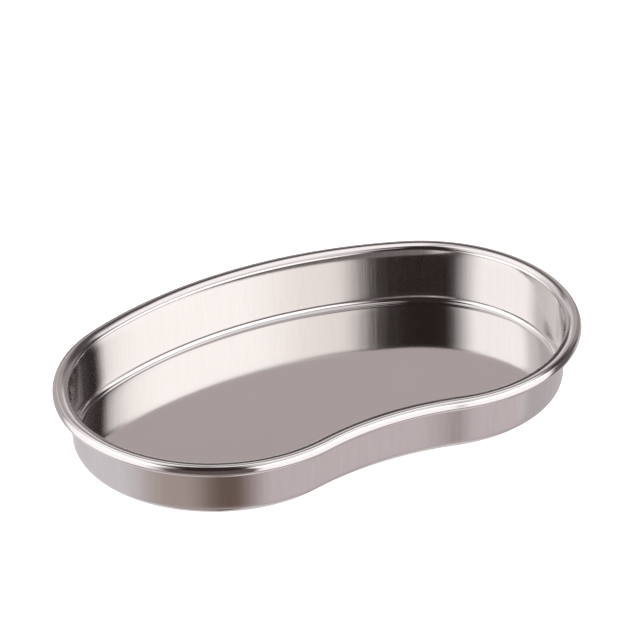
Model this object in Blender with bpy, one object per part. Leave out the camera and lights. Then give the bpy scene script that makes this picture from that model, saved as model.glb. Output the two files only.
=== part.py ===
"""Kidney dish: a shallow kidney-shaped basin drawn from one stainless steel sheet, with a rolled rim.

Run with: blender --background --python part.py
Units are metres. +X runs along the dish, +Y towards its bulging back, and +Z up. The origin is on the
surface that the dish stands on, under the middle of its outer box.

The sheet is drawn once as a profile, in two coordinates: how far out it lies from the rim's outer edge
(so a place inside the rim is negative) and its height. Sweeping the profile round the plan outline
gives the two solids. The sheet's face is the side that holds the contents, and its back is the other
side. On the rim the face becomes the outside of the curl.
"""
import math

import bmesh
import bpy

HALF_TURN = math.pi
QUARTER_TURN = math.pi / 2

# Plan outline of the rim's outer edge: two round ends, a bulging back and a hollow front
LENGTH = 0.250
END_RADIUS = 0.073
BACK_REACH = 0.0835          # from the line through the ends' centres to the middle of the back
FRONT_REACH = 0.0662         # from the same line to the middle of the hollow front

# Cross-section of the sheet
SHEET = 0.0007
HEIGHT = 0.029               # from the underside of the floor to the top of the rim
WALL_DRAFT = math.radians(3)
BEND_RADIUS = 0.0038         # between wall and floor, on the sheet's back
FLARE_RADIUS = 0.040         # of the gentle curve that leads the wall out to the rim
FLARE_TILT = math.radians(8)
RIM_WIDTH = 0.0073
RIM_THICKNESS = 0.0058
CROWN_INSET = 0.0023         # from the rim's outer edge to its crown, where it is highest
CROWN_RISE = 0.0022          # the height in which the inside of the rim turns level
LIP_END = math.radians(315)  # how far the edge curls round, from the wall over the top
SEAM_GAP = 0.0003            # between the two solids, where the curl leaves the wall

# Steps along each stretch
BACK_STEPS = 24
END_BACK_STEPS = 11
END_SIDE_STEPS = 15
END_FRONT_STEPS = 3
FRONT_STEPS = 12
BEND_STEPS = 5
FLARE_STEPS = 2
RISING_CURL_STEPS = 4
FALLING_CURL_STEPS = 10

SHARP_ANGLE = math.radians(50)
STEEL_COLOUR = (0.62, 0.60, 0.59, 1.0)


def clear_scene():
    for obj in list(bpy.data.objects):
        bpy.data.objects.remove(obj, do_unlink=True)


def steel(name, roughness):
    material = bpy.data.materials.new(name)
    material.use_nodes = True
    shader = material.node_tree.nodes["Principled BSDF"]
    shader.inputs["Base Color"].default_value = STEEL_COLOUR
    shader.inputs["Metallic"].default_value = 1.0
    shader.inputs["Roughness"].default_value = roughness
    return material


def arc(centre_x, centre_y, radius, start, end, steps, bulge=1):
    """Points from start up to end, without end, each with its outward direction.

    bulge is -1 where the outline is hollow, so that its outside faces the arc's centre.
    """
    points = []
    for step in range(steps):
        angle = start + (end - start) * step / steps
        along_x, along_y = math.cos(angle), math.sin(angle)
        point = (centre_x + radius * along_x, centre_y + radius * along_y)
        points.append((point, (bulge * along_x, bulge * along_y)))
    return points


def plan_outline():
    """The rim's outer edge, clockwise from above, starting where the left end meets the back."""
    end_x = LENGTH / 2 - END_RADIUS
    back_radius = (end_x**2 + BACK_REACH**2 - END_RADIUS**2) / (2 * (BACK_REACH - END_RADIUS))
    front_radius = (end_x**2 + FRONT_REACH**2 - END_RADIUS**2) / (2 * (END_RADIUS - FRONT_REACH))
    back_y = BACK_REACH - back_radius
    front_y = -FRONT_REACH - front_radius
    # Arcs are tangent where the line between their centres crosses them
    back_join = math.atan2(-back_y, end_x)
    front_join = math.atan2(-front_y, end_x)

    def end(centre_x, *stretches):
        points = []
        for start, stop, steps in stretches:
            points += arc(centre_x, 0, END_RADIUS, start, stop, steps)
        return points

    right_stretches = (
        (back_join, 0, END_BACK_STEPS),
        (0, -QUARTER_TURN, END_SIDE_STEPS),
        (-QUARTER_TURN, front_join - HALF_TURN, END_FRONT_STEPS),
    )
    left_stretches = [(HALF_TURN - stop, HALF_TURN - start, steps) for start, stop, steps in right_stretches]
    outline = arc(0, back_y, back_radius, HALF_TURN - back_join, back_join, BACK_STEPS)
    outline += end(end_x, *right_stretches)
    outline += arc(0, front_y, front_radius, front_join, HALF_TURN - front_join, FRONT_STEPS, bulge=-1)
    outline += end(-end_x, *reversed(left_stretches))
    return outline


def curl_point(angle):
    """A place on the rim's curl, with the direction from the sheet's face to its back.

    The angle is 0 against the wall, a quarter turn at the crown and a half turn at the rim's outer
    edge. The curl is part of three ovals: one up to the crown, one down to the outer edge and one below.
    """
    if angle < QUARTER_TURN:
        centre_out, half_width, half_height = -CROWN_INSET, RIM_WIDTH - CROWN_INSET, CROWN_RISE
    elif angle < HALF_TURN:
        centre_out, half_width, half_height = -CROWN_INSET, CROWN_INSET, RIM_THICKNESS / 2
    else:
        centre_out, half_width, half_height = -RIM_WIDTH / 2, RIM_WIDTH / 2, RIM_THICKNESS / 2
    out = centre_out - half_width * math.cos(angle)
    height = HEIGHT - half_height * (1 - math.sin(angle))
    to_back = (math.cos(angle) / half_width, -math.sin(angle) / half_height)
    size = math.hypot(*to_back)
    return out, height, to_back[0] / size, to_back[1] / size


def curl_start():
    """The angle where the curl has the tilt that the flare ends with."""
    return math.atan(math.tan(FLARE_TILT) * CROWN_RISE / (RIM_WIDTH - CROWN_INSET))


def flare_point(tilt):
    """A place on the flare between wall and curl, where the sheet leans out by this tilt."""
    top_out, top_height, _, _ = curl_point(curl_start())
    out = top_out - FLARE_RADIUS * (math.cos(tilt) - math.cos(FLARE_TILT))
    height = top_height - FLARE_RADIUS * (math.sin(FLARE_TILT) - math.sin(tilt))
    return out, height, math.cos(tilt), -math.sin(tilt)


def rim_profile():
    """Up from the flare to the crown, and then down round the outside to the lip."""
    start = curl_start()
    rise = (QUARTER_TURN - start) / RISING_CURL_STEPS
    fall = (LIP_END - QUARTER_TURN) / FALLING_CURL_STEPS
    angles = [start + rise * step for step in range(RISING_CURL_STEPS)]
    angles += [QUARTER_TURN + fall * step for step in range(FALLING_CURL_STEPS + 1)]
    return [curl_point(angle) for angle in angles]


def pan_profile():
    """The bend, from the floor up, and then the wall and its flare, up to the seam with the rim."""
    flare_out, flare_height, _, _ = flare_point(WALL_DRAFT)
    face_radius = BEND_RADIUS - SHEET
    wall_out = flare_out - math.tan(WALL_DRAFT) * (flare_height - BEND_RADIUS)
    centre_out = wall_out - face_radius / math.cos(WALL_DRAFT)

    profile = []
    turn = QUARTER_TURN - WALL_DRAFT
    for step in range(BEND_STEPS + 1):
        angle = turn * step / BEND_STEPS
        to_back = (math.sin(angle), -math.cos(angle))
        out = centre_out + face_radius * to_back[0]
        height = BEND_RADIUS + face_radius * to_back[1]
        profile.append((out, height, *to_back))

    seam_tilt = FLARE_TILT - SEAM_GAP / FLARE_RADIUS
    for step in range(FLARE_STEPS + 1):
        profile.append(flare_point(WALL_DRAFT + (seam_tilt - WALL_DRAFT) * step / FLARE_STEPS))
    return profile


def section(profile):
    """The sheet's cross-section: along its face, and back again along its back."""
    face = [(out, height) for out, height, _, _ in profile]
    back = [(out + SHEET * back_out, height + SHEET * back_up) for out, height, back_out, back_up in profile]
    return face + back[::-1]


def sweep(name, profile, material, parent, closed_ring):
    """Sweep the sheet's cross-section round the plan outline.

    A closed ring, like the rim, joins the section's last point to its first. Otherwise the two ends
    of the section are the edges of a flat floor, and each gets a flat face across the dish.
    """
    points = section(profile)
    outline = plan_outline()
    mesh_builder = bmesh.new()
    rings = []
    for out, height in points:
        ring = []
        for (x, y), (out_x, out_y) in outline:
            ring.append(mesh_builder.verts.new((x + out * out_x, y + out * out_y, height)))
        rings.append(ring)

    pairs = list(zip(rings, rings[1:]))
    if closed_ring:
        pairs.append((rings[-1], rings[0]))
    else:
        mesh_builder.faces.new(rings[0])
        mesh_builder.faces.new(rings[-1])
    count = len(outline)
    for lower, upper in pairs:
        for here in range(count):
            ahead = (here + 1) % count
            mesh_builder.faces.new((lower[here], lower[ahead], upper[ahead], upper[here]))
    bmesh.ops.recalc_face_normals(mesh_builder, faces=mesh_builder.faces)

    mesh = bpy.data.meshes.new(name)
    mesh_builder.to_mesh(mesh)
    mesh_builder.free()
    mesh.shade_smooth()
    mesh.set_sharp_from_angle(angle=SHARP_ANGLE)
    mesh.materials.append(material)

    obj = bpy.data.objects.new(name, mesh)
    obj.parent = parent
    bpy.context.scene.collection.objects.link(obj)
    return obj


def main():
    clear_scene()
    dish = bpy.data.objects.new("kidney_dish", None)
    dish.location.y = (END_RADIUS - BACK_REACH) / 2
    bpy.context.scene.collection.objects.link(dish)

    satin = steel("satin_steel", roughness=0.28)
    polished = steel("polished_steel", roughness=0.10)
    sweep("drawn_pan", pan_profile(), satin, dish, closed_ring=False)
    sweep("rolled_rim", rim_profile(), polished, dish, closed_ring=True)


main()
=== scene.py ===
"""The looks of the kidney dish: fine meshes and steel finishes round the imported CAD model.

Units are metres, in the CAD model's frame: +X along the dish, +Y towards its bulging back, +Z up.
"""
import math
from typing import NamedTuple

import bmesh
import bpy
from mathutils import Matrix, Vector


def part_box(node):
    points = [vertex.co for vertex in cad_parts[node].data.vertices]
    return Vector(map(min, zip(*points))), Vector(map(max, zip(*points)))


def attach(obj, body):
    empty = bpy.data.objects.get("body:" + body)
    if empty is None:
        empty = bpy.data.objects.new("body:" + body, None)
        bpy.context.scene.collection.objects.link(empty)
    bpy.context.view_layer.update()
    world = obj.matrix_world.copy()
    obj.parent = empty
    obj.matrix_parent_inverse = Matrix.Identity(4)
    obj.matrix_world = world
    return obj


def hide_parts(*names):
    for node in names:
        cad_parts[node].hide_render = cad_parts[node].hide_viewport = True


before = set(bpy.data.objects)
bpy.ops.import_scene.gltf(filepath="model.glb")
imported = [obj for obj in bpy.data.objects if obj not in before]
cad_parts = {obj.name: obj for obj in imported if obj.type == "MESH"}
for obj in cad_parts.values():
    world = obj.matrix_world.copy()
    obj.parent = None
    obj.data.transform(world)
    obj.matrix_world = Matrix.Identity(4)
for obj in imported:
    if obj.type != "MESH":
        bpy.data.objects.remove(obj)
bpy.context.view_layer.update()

HALF_TURN = math.pi
QUARTER_TURN = math.pi / 2

# The dish, as the CAD model has it
END_RADIUS = 0.073
BACK_REACH = 0.0835
FRONT_REACH = 0.0662
SHEET = 0.0007
WALL_DRAFT = math.radians(3)
BEND_RADIUS = 0.0038
FLARE_RADIUS = 0.040
FLARE_TILT = math.radians(8)
RIM_WIDTH = 0.0073
CROWN_INSET = 0.0023
CROWN_RISE = 0.0022
LIP_END = math.radians(315)

# Steps of the fine meshes
BACK_STEPS = 90
END_BACK_STEPS = 44
END_SIDE_STEPS = 60
END_FRONT_STEPS = 10
FRONT_STEPS = 36
SHARP_ANGLE = math.radians(50)
BEND_STEPS = 14
WALL_STEPS = 8
FLARE_STEPS = 10
RISING_CURL_STEPS = 16
FALLING_CURL_STEPS = 40
FLOOR_RINGS = 12

# The camera: where it looks, from which side, and how far off it stands
CAMERA_AIM = Vector((0.00653, 0.01649, 0.03713))
CAMERA_AZIMUTH = math.radians(-28.33)
CAMERA_ELEVATION = math.radians(30.91)
CAMERA_ROLL = math.radians(-0.88)
CAMERA_DISTANCE = 2.227
CAMERA_LENS = 288.3
SENSOR_WIDTH = 36.0

# The steel
STEEL_COLOUR = (0.600, 0.583, 0.572)
FLOOR_ROUGHNESS = 0.066
BEND_ROUGHNESS = 0.080
WALL_ROUGHNESS = 0.115
WALL_ANISOTROPY = 0.55
RIM_ROUGHNESS = 0.10

# How far the pan's surface faces up or down, from 0 to 1, where a finish begins and where it is complete
ON_FLOOR = (0.965, 0.999)
ON_WALL = (0.45, 0.15)

# Blender's noise mostly stays between 0.25 and 0.75; this spreads it over -1 to 1
NOISE_SPREAD = 4.0


class Grain(NamedTuple):
    """A layer of noise in the steel, and how far it changes each property either way."""
    patches_per_metre: tuple    # along X, Y and Z
    detail: float
    roughness: float
    shade: float                # as a share of the steel's colour
    height: float               # in metres


FINE_BRUSHING = Grain((1500, 1500, 25), 3, roughness=0.012, shade=0.020, height=0.9e-6)
BROAD_BRUSHING = Grain((330, 330, 9), 2, roughness=0.008, shade=0.014, height=4.0e-6)
ROLLING_MARKS = Grain((45, 1900, 300), 3, roughness=0.004, shade=0.008, height=0.25e-6)
FLOOR_CLOUDS = Grain((34, 34, 34), 4, roughness=0.006, shade=0.010, height=0)
HAIRLINES = Grain((700, 700, 700), 3, roughness=0, shade=0, height=0.35e-6)
RIM_BUFFING = Grain((420, 420, 2600), 3, roughness=0.010, shade=0.012, height=0.5e-6)
RIM_CLOUDS = Grain((60, 60, 60), 3, roughness=0.014, shade=0.012, height=0)
RIM_WAVES = Grain((48, 48, 48), 1, roughness=0, shade=0, height=40e-6)

# The studio, as soft-edged panels seen from the dish, each covering what comes before it.
# Angles are in degrees. Azimuth 0 is towards -Y and 90 towards +X; elevation 90 is overhead.
# name, (left, right), softness, (bottom, top), softness, radiance
STUDIO_PANELS = [
    ("back of the room", (92, 178), 16, (-36, 54), 8, (0.11, 0.095, 0.100)),
    ("gap beside the right light", (64, 100), 10, (-36, 20), 14, (0.17, 0.150, 0.155)),
    ("table, far left", (-206, -70), 20, (-100, -29), 8, (0.90, 0.86, 0.90)),
    ("left light, upper part", (-196, -88), 18, (38, 76), 10, (1.28, 1.26, 1.25)),
    ("back light, high up", (160, 202), 10, (44, 74), 12, (1.58, 1.53, 1.53)),
    ("left light, rear part", (-152, -100), 10, (-31, 46), 8, (1.38, 1.34, 1.36)),
    ("left light, far side", (-131, -90), 18, (14, 46), 8, (2.42, 2.38, 2.40)),
    ("left light", (-110, -66.5), 29, (14, 46), 8, (2.42, 2.38, 2.40)),
    ("left light, near the table", (-142, -67), 26, (-31, 14), 8, (1.62, 1.57, 1.58)),
    ("right light, upper part", (14, 78), 12, (44, 60), 10, (1.10, 1.06, 1.06)),
    ("right light, high up", (4, 94), 14, (54, 80), 8, (1.05, 1.01, 1.03)),
    ("right light, at its highest", (86, 156), 12, (48, 77), 8, (1.55, 1.49, 1.51)),
    ("right light", (-4.5, 60), 11, (16, 45), 8, (2.12, 2.03, 2.02)),
    ("right light, far side", (30, 74), 20, (16, 45), 8, (2.12, 2.03, 2.02)),
    ("right light, brightest part", (16, 66), 24, (18, 44), 8, (2.60, 2.56, 2.56)),
    ("right light, near the table", (-2, 69), 9, (-36, 15), 8, (1.62, 1.55, 1.56)),
    ("back right wall", (106, 148), 12, (-5, 34), 8, (0.42, 0.37, 0.375)),
    ("back right table", (98, 150), 12, (-34, -5), 8, (0.75, 0.70, 0.71)),
    ("back wall", (170, 212), 10, (-34, 28), 8, (0.66, 0.61, 0.62)),
    ("back wall, upper part", (176, 212), 8, (28, 44), 6, (1.02, 0.97, 0.98)),
    ("back light, low down", (138, 166), 10, (22, 28), 4, (1.15, 1.09, 1.11)),
    ("back wall behind the dish", (142, 157), 6, (28, 34.5), 3, (0.640, 0.563, 0.560)),
    ("back wall, left of that", (157, 182), 4, (28, 34.5), 4, (0.95, 0.90, 0.93)),
    ("darkness by the camera", (-62, -4), 8, (-36, 19), 14, (0.17, 0.130, 0.125)),
    ("table", (-206, -60), 6, (-100, -36), 6, (0.90, 0.86, 0.90)),
    ("table, left of the camera", (-92, 0), 44, (-100, -35), 6, (0.56, 0.46, 0.435)),
    ("table, front right", (-20, 70), 20, (-100, -35), 6, (0.81, 0.705, 0.73)),
    ("table, right", (66, 154), 8, (-100, -31), 5, (0.66, 0.61, 0.63)),
    ("table, darkest by the camera", (-40, 1), 36, (-100, -35), 6, (0.195, 0.135, 0.115)),
    ("table close by, left", (-110, -1), 24, (-57, -43), 4, (0.60, 0.53, 0.53)),
    ("table close by, right", (-1, 150), 10, (-62, -43), 4, (0.66, 0.60, 0.61)),
    ("table underneath, right", (4, 150), 10, (-100, -62), 4, (0.95, 0.89, 0.90)),
]
ROOM_RADIANCE = (0.044, 0.031, 0.029)
LIGHT_MAP_RESOLUTION = 512      # of the map that Cycles samples the studio's light by

# The white set
SET_REACH = 4.0                 # from the dish to the floor's edges, and the backdrop's radius
FLOOR_LIGHTNESS = 0.9
MATT_ROUGHNESS = 0.7
FLOOR_GLOW = 0.75
BACKDROP_GLOW = 1.05


def arc(centre_x, centre_y, radius, start, end, steps, bulge=1):
    """Points from start up to end, without end, each with its outward direction."""
    points = []
    for step in range(steps):
        angle = start + (end - start) * step / steps
        along = Vector((math.cos(angle), math.sin(angle)))
        points.append((Vector((centre_x, centre_y)) + radius * along, bulge * along))
    return points


def plan_outline():
    """The rim's outer edge, clockwise from above, about the middle of the dish's outer box."""
    low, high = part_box("rolled_rim")
    end_x = (high.x - low.x) / 2 - END_RADIUS
    end_y = (END_RADIUS - BACK_REACH) / 2
    back_radius = (end_x**2 + BACK_REACH**2 - END_RADIUS**2) / (2 * (BACK_REACH - END_RADIUS))
    front_radius = (end_x**2 + FRONT_REACH**2 - END_RADIUS**2) / (2 * (END_RADIUS - FRONT_REACH))
    back_y = BACK_REACH - back_radius
    front_y = -FRONT_REACH - front_radius
    back_join = math.atan2(-back_y, end_x)
    front_join = math.atan2(-front_y, end_x)

    right_end = [
        (back_join, 0, END_BACK_STEPS),
        (0, -QUARTER_TURN, END_SIDE_STEPS),
        (-QUARTER_TURN, front_join - HALF_TURN, END_FRONT_STEPS),
    ]
    left_end = [(HALF_TURN - stop, HALF_TURN - start, steps) for start, stop, steps in reversed(right_end)]
    outline = arc(0, end_y + back_y, back_radius, HALF_TURN - back_join, back_join, BACK_STEPS)
    for start, stop, steps in right_end:
        outline += arc(end_x, end_y, END_RADIUS, start, stop, steps)
    outline += arc(0, end_y + front_y, front_radius, front_join, HALF_TURN - front_join, FRONT_STEPS, -1)
    for start, stop, steps in left_end:
        outline += arc(-end_x, end_y, END_RADIUS, start, stop, steps)
    return outline


def curl_point(angle):
    """A place on the rim's curl and the direction from the sheet's face to its back, as (out, up)."""
    low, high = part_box("rolled_rim")
    half_thickness = (high.z - low.z) / 2
    if angle < QUARTER_TURN:
        centre_out, half_width, half_height = -CROWN_INSET, RIM_WIDTH - CROWN_INSET, CROWN_RISE
    elif angle < HALF_TURN:
        centre_out, half_width, half_height = -CROWN_INSET, CROWN_INSET, half_thickness
    else:
        centre_out, half_width, half_height = -RIM_WIDTH / 2, RIM_WIDTH / 2, half_thickness
    out = centre_out - half_width * math.cos(angle)
    height = high.z - half_height * (1 - math.sin(angle))
    to_back = Vector((math.cos(angle) / half_width, -math.sin(angle) / half_height)).normalized()
    return Vector((out, height)), to_back


def curl_start():
    """The angle where the curl has the tilt that the flare ends with."""
    return math.atan(math.tan(FLARE_TILT) * CROWN_RISE / (RIM_WIDTH - CROWN_INSET))


def flare_point(tilt):
    """A place on the flare between wall and curl, where the sheet leans out by this tilt."""
    top, _ = curl_point(curl_start())
    out = top.x - FLARE_RADIUS * (math.cos(tilt) - math.cos(FLARE_TILT))
    height = top.y - FLARE_RADIUS * (math.sin(FLARE_TILT) - math.sin(tilt))
    return Vector((out, height)), Vector((math.cos(tilt), -math.sin(tilt)))


def rim_profile():
    """Up from the flare to the crown, and then down round the outside to the lip."""
    start = curl_start()
    rise = (QUARTER_TURN - start) / RISING_CURL_STEPS
    fall = (LIP_END - QUARTER_TURN) / FALLING_CURL_STEPS
    angles = [start + rise * step for step in range(RISING_CURL_STEPS)]
    angles += [QUARTER_TURN + fall * step for step in range(FALLING_CURL_STEPS + 1)]
    return [curl_point(angle) for angle in angles]


def pan_profile():
    """The bend, from the floor up, and then the wall and its flare, up to the curl."""
    flare_foot, wall_to_back = flare_point(WALL_DRAFT)
    face_radius = BEND_RADIUS - SHEET
    wall_out = flare_foot.x - math.tan(WALL_DRAFT) * (flare_foot.y - BEND_RADIUS)
    centre = Vector((wall_out - face_radius / math.cos(WALL_DRAFT), BEND_RADIUS))
    profile = []
    for step in range(BEND_STEPS + 1):
        angle = (QUARTER_TURN - WALL_DRAFT) * step / BEND_STEPS
        to_back = Vector((math.sin(angle), -math.cos(angle)))
        profile.append((centre + face_radius * to_back, to_back))
    foot = profile[-1][0]
    for step in range(1, WALL_STEPS):
        profile.append((foot.lerp(flare_foot, step / WALL_STEPS), wall_to_back))
    for step in range(FLARE_STEPS + 1):
        profile.append(flare_point(WALL_DRAFT + (FLARE_TILT - WALL_DRAFT) * step / FLARE_STEPS))
    return profile


def section(profile):
    """The sheet's cross-section: along its face, and back again along its back."""
    face = [place for place, _ in profile]
    back = [place + SHEET * to_back for place, to_back in profile]
    return face + back[::-1]


def swept_rings(builder, points, outline):
    """A ring round the plan outline for each place on the cross-section."""
    rings = []
    for out, height in points:
        ring = []
        for place, outward in outline:
            at = place + out * outward
            ring.append(builder.verts.new((at.x, at.y, height)))
        rings.append(ring)
    return rings


def floor_rings(builder, edge):
    """Rings that shrink from the floor's edge to its middle."""
    middle_y = sum(vert.co.y for vert in edge) / len(edge)
    rings = []
    for step in range(FLOOR_RINGS - 1, 0, -1):
        share = step / FLOOR_RINGS
        ring = []
        for vert in edge:
            y = middle_y + share * (vert.co.y - middle_y)
            ring.append(builder.verts.new((share * vert.co.x, y, vert.co.z)))
        rings.append(ring)
    return rings


def bridge(builder, lower, upper):
    """Faces between two rings that have the same number of points."""
    count = len(lower)
    for here in range(count):
        ahead = (here + 1) % count
        builder.faces.new((lower[here], lower[ahead], upper[ahead], upper[here]))


def swept_sheet(name, profile, closed_ring):
    """The sheet swept round the plan outline.

    A closed ring, like the rim, joins the cross-section's last point to its first. Otherwise the two
    ends of the cross-section are the edges of the flat floor, and rings fill it to the middle.
    """
    builder = bmesh.new()
    rings = swept_rings(builder, section(profile), plan_outline())
    if closed_ring:
        rings.append(rings[0])
    else:
        rings = floor_rings(builder, rings[0])[::-1] + rings + floor_rings(builder, rings[-1])
        builder.faces.new(rings[0])
        builder.faces.new(rings[-1])
    for lower, upper in zip(rings, rings[1:]):
        bridge(builder, lower, upper)
    bmesh.ops.recalc_face_normals(builder, faces=builder.faces)
    mesh = bpy.data.meshes.new(name)
    builder.to_mesh(mesh)
    builder.free()
    mesh.shade_smooth()
    mesh.set_sharp_from_angle(angle=SHARP_ANGLE)
    obj = bpy.data.objects.new(name, mesh)
    bpy.context.scene.collection.objects.link(obj)
    return obj


def node(tree, kind, **settings):
    made = tree.nodes.new(kind)
    for name, value in settings.items():
        setattr(made, name, value)
    return made


def plug(tree, value, socket):
    """Give a socket another node's output, or a plain value."""
    if isinstance(value, bpy.types.NodeSocket):
        tree.links.new(value, socket)
    else:
        socket.default_value = value


def maths(tree, operation, *values):
    made = node(tree, "ShaderNodeMath", operation=operation)
    for value, socket in zip(values, made.inputs):
        plug(tree, value, socket)
    return made.outputs[0]


def vector_maths(tree, operation, *values):
    made = node(tree, "ShaderNodeVectorMath", operation=operation)
    for value, socket in zip(values, made.inputs):
        plug(tree, value, socket)
    return made.outputs[0]


def ramp(tree, value, empty_at, full_at):
    """0 at one value, 1 at the other and a smooth change between them."""
    made = node(tree, "ShaderNodeMapRange", interpolation_type="SMOOTHSTEP")
    plug(tree, value, made.inputs["Value"])
    plug(tree, empty_at, made.inputs["From Min"])
    plug(tree, full_at, made.inputs["From Max"])
    return made.outputs["Result"]


def mix(tree, amount, under, over):
    made = node(tree, "ShaderNodeMix", data_type="FLOAT")
    plug(tree, amount, made.inputs["Factor"])
    plug(tree, under, made.inputs["A"])
    plug(tree, over, made.inputs["B"])
    return made.outputs["Result"]


def mix_colours(tree, amount, under, over, label):
    """A Mix node keeps sockets of the same name for each kind of value, so these go by number."""
    made = node(tree, "ShaderNodeMix", data_type="RGBA", label=label)
    plug(tree, amount, made.inputs[0])
    plug(tree, under, made.inputs[6])
    plug(tree, over, made.inputs[7])
    return made.outputs[2]


def noise(tree, grain):
    """The grain's noise, from about -1 to 1."""
    place = node(tree, "ShaderNodeTexCoord").outputs["Object"]
    made = node(tree, "ShaderNodeTexNoise")
    plug(tree, vector_maths(tree, "MULTIPLY", place, grain.patches_per_metre), made.inputs["Vector"])
    made.inputs["Scale"].default_value = 1
    made.inputs["Detail"].default_value = grain.detail
    centred = maths(tree, "SUBTRACT", made.outputs["Fac"], 0.5)
    return maths(tree, "MULTIPLY", centred, NOISE_SPREAD)


def grained(tree, *grains):
    """What these grains together do to the roughness, the shade and the height."""
    totals = [0, 0, 0]
    for grain in grains:
        made = noise(tree, grain)
        for index, amount in enumerate((grain.roughness, grain.shade, grain.height)):
            totals[index] = maths(tree, "MULTIPLY_ADD", made, amount, totals[index])
    return totals


def new_steel(name, roughness):
    """A steel material, its node tree and its shader, with the plain values that an exporter reads."""
    material = bpy.data.materials.new(name)
    material.use_nodes = True
    tree = material.node_tree
    shader = tree.nodes["Principled BSDF"]
    shader.inputs["Base Color"].default_value = (*STEEL_COLOUR, 1)
    shader.inputs["Metallic"].default_value = 1
    shader.inputs["Roughness"].default_value = roughness
    return material, tree, shader


def set_finish(tree, shader, roughness, shade, height):
    """Shade is what the steel's colour gains or loses, as a share of it. Height is in metres."""
    plug(tree, roughness, shader.inputs["Roughness"])

    colour = node(tree, "ShaderNodeVectorMath", operation="SCALE")
    colour.inputs["Vector"].default_value = STEEL_COLOUR
    plug(tree, maths(tree, "ADD", shade, 1), colour.inputs["Scale"])
    plug(tree, colour.outputs[0], shader.inputs["Base Color"])

    bump = node(tree, "ShaderNodeBump")
    bump.inputs["Distance"].default_value = 1
    plug(tree, height, bump.inputs["Height"])
    plug(tree, bump.outputs[0], shader.inputs["Normal"])


def level_tangent(tree, normal):
    """The level direction along a wall, with a little X so that it is never zero."""
    across = vector_maths(tree, "CROSS_PRODUCT", normal, (0, 0, 1))
    nudged = vector_maths(tree, "ADD", across, (0.0001, 0, 0))
    return vector_maths(tree, "NORMALIZE", nudged)


def satin_steel():
    """The pan: a fine satin mirror on the floor, brushed upright on the walls, polished in the bend."""
    material, tree, shader = new_steel("satin_steel", WALL_ROUGHNESS)
    normal = node(tree, "ShaderNodeNewGeometry").outputs["Normal"]
    split = node(tree, "ShaderNodeSeparateXYZ")
    plug(tree, normal, split.inputs[0])
    levelness = maths(tree, "ABSOLUTE", split.outputs["Z"])
    on_floor = ramp(tree, levelness, *ON_FLOOR)
    on_wall = ramp(tree, levelness, *ON_WALL)

    wall_change, wall_shade, wall_height = grained(tree, FINE_BRUSHING, BROAD_BRUSHING)
    floor_change, floor_shade, floor_height = grained(tree, ROLLING_MARKS, FLOOR_CLOUDS, HAIRLINES)
    wall_roughness = maths(tree, "ADD", wall_change, WALL_ROUGHNESS)
    floor_roughness = maths(tree, "ADD", floor_change, FLOOR_ROUGHNESS)
    off_floor = mix(tree, on_wall, BEND_ROUGHNESS, wall_roughness)
    roughness = mix(tree, on_floor, off_floor, floor_roughness)
    shade = mix(tree, on_floor, maths(tree, "MULTIPLY", wall_shade, on_wall), floor_shade)
    height = mix(tree, on_floor, maths(tree, "MULTIPLY", wall_height, on_wall), floor_height)
    set_finish(tree, shader, roughness, shade, height)

    plug(tree, maths(tree, "MULTIPLY", on_wall, WALL_ANISOTROPY), shader.inputs["Anisotropic"])
    plug(tree, level_tangent(tree, normal), shader.inputs["Tangent"])
    return material


def polished_steel():
    """The rim: buffed along its length, so that it shines but never quite evenly."""
    material, tree, shader = new_steel("polished_steel", RIM_ROUGHNESS)
    change, shade, height = grained(tree, RIM_BUFFING, RIM_CLOUDS, RIM_WAVES)
    set_finish(tree, shader, maths(tree, "ADD", change, RIM_ROUGHNESS), shade, height)
    return material


def make_camera():
    back = Vector((
        math.sin(CAMERA_AZIMUTH) * math.cos(CAMERA_ELEVATION),
        -math.cos(CAMERA_AZIMUTH) * math.cos(CAMERA_ELEVATION),
        math.sin(CAMERA_ELEVATION),
    ))
    right = Vector((math.cos(CAMERA_AZIMUTH), math.sin(CAMERA_AZIMUTH), 0))
    up = back.cross(right)
    turned_right = right * math.cos(CAMERA_ROLL) + up * math.sin(CAMERA_ROLL)
    turned_up = up * math.cos(CAMERA_ROLL) - right * math.sin(CAMERA_ROLL)
    camera = bpy.data.objects.new("camera", bpy.data.cameras.new("camera"))
    axes = Matrix((turned_right, turned_up, back)).transposed()
    camera.matrix_world = Matrix.Translation(CAMERA_AIM + back * CAMERA_DISTANCE) @ axes.to_4x4()
    camera.data.sensor_width = SENSOR_WIDTH
    camera.data.lens = CAMERA_LENS
    bpy.context.scene.collection.objects.link(camera)
    bpy.context.scene.camera = camera


def panel_amount(tree, azimuth, elevation, sides, side_softness, heights, height_softness):
    """How much of a panel lies in a direction, from 0 outside it to 1 inside."""
    left, right, bottom, top = (math.radians(edge) for edge in (*sides, *heights))
    soft_side = math.radians(side_softness / 2)
    soft_end = math.radians(height_softness / 2)
    from_middle = maths(tree, "SUBTRACT", azimuth, (left + right) / 2)
    wrapped = maths(tree, "WRAP", from_middle, HALF_TURN, -HALF_TURN)
    from_side = maths(tree, "SUBTRACT", (right - left) / 2, maths(tree, "ABSOLUTE", wrapped))
    across = ramp(tree, from_side, -soft_side, soft_side)
    above_bottom = ramp(tree, elevation, bottom - soft_end, bottom + soft_end)
    below_top = ramp(tree, elevation, top + soft_end, top - soft_end)
    return maths(tree, "MULTIPLY", across, maths(tree, "MULTIPLY", above_bottom, below_top))


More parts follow.
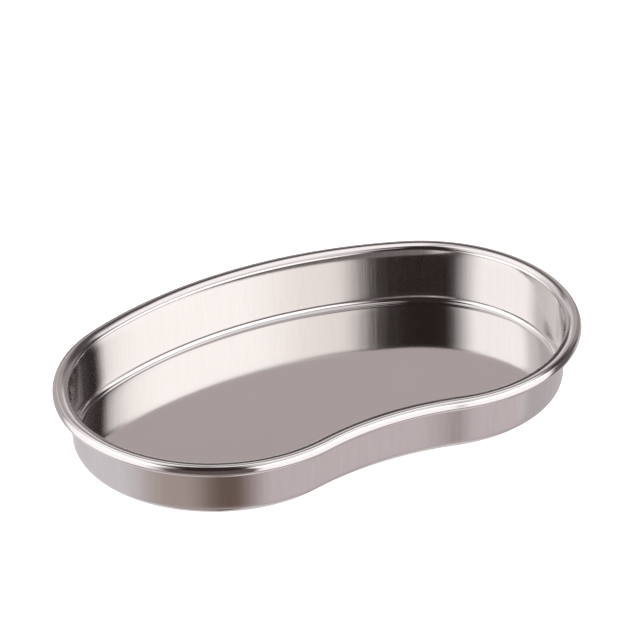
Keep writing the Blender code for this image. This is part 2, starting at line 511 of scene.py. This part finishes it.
def make_studio():
    """A dark room with large soft lights on both sides of the camera and a pale table."""
    world = bpy.data.worlds.new("studio")
    bpy.context.scene.world = world
    world.use_nodes = True
    tree = world.node_tree
    split = node(tree, "ShaderNodeSeparateXYZ")
    plug(tree, node(tree, "ShaderNodeTexCoord").outputs["Generated"], split.inputs[0])
    towards_viewer = maths(tree, "MULTIPLY", split.outputs["Y"], -1)
    azimuth = maths(tree, "ARCTAN2", split.outputs["X"], towards_viewer)
    elevation = maths(tree, "ARCSINE", split.outputs["Z"])
    colour = (*ROOM_RADIANCE, 1)
    for name, *outline, radiance in STUDIO_PANELS:
        amount = panel_amount(tree, azimuth, elevation, *outline)
        colour = mix_colours(tree, amount, colour, (*radiance, 1), name)
    plug(tree, colour, tree.nodes["Background"].inputs["Color"])
    world.cycles.sampling_method = "MANUAL"
    world.cycles.sample_map_resolution = LIGHT_MAP_RESOLUTION


def glowing(name, lightness, glow):
    """A matt grey or white that also shines white."""
    material = bpy.data.materials.new(name)
    material.use_nodes = True
    shader = material.node_tree.nodes["Principled BSDF"]
    shader.inputs["Base Color"].default_value = (lightness, lightness, lightness, 1)
    shader.inputs["Roughness"].default_value = MATT_ROUGHNESS
    shader.inputs["Emission Color"].default_value = (1, 1, 1, 1)
    shader.inputs["Emission Strength"].default_value = glow
    return material


def stage_piece(name, builder, material):
    """A piece of the white set. It shows to the camera but not in the steel."""
    mesh = bpy.data.meshes.new(name)
    builder.to_mesh(mesh)
    builder.free()
    mesh.materials.append(material)
    piece = bpy.data.objects.new(name, mesh)
    bpy.context.scene.collection.objects.link(piece)
    piece.visible_glossy = False
    return piece


def make_set():
    """A pale floor with a white dome over it, which lights nothing."""
    builder = bmesh.new()
    bmesh.ops.create_grid(builder, x_segments=1, y_segments=1, size=SET_REACH)
    stage_piece("floor", builder, glowing("pale_floor", FLOOR_LIGHTNESS, FLOOR_GLOW))

    builder = bmesh.new()
    bmesh.ops.create_uvsphere(builder, u_segments=48, v_segments=24, radius=SET_REACH)
    dome = stage_piece("backdrop", builder, glowing("white_backdrop", 0, BACKDROP_GLOW))
    dome.visible_diffuse = False
    dome.visible_shadow = False
    dome.visible_transmission = False


def make_piece(node_name, piece, material):
    """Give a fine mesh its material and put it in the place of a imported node."""
    piece.data.materials.append(material)
    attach(piece, "root")
    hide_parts(node_name)


make_camera()
pan = swept_sheet("pan_sheet", pan_profile(), closed_ring=False)
rim = swept_sheet("rim_bead", rim_profile(), closed_ring=True)
make_piece("drawn_pan", pan, satin_steel())
make_piece("rolled_rim", rim, polished_steel())
make_studio()
make_set()
bpy.context.scene.view_settings.view_transform = "Standard"
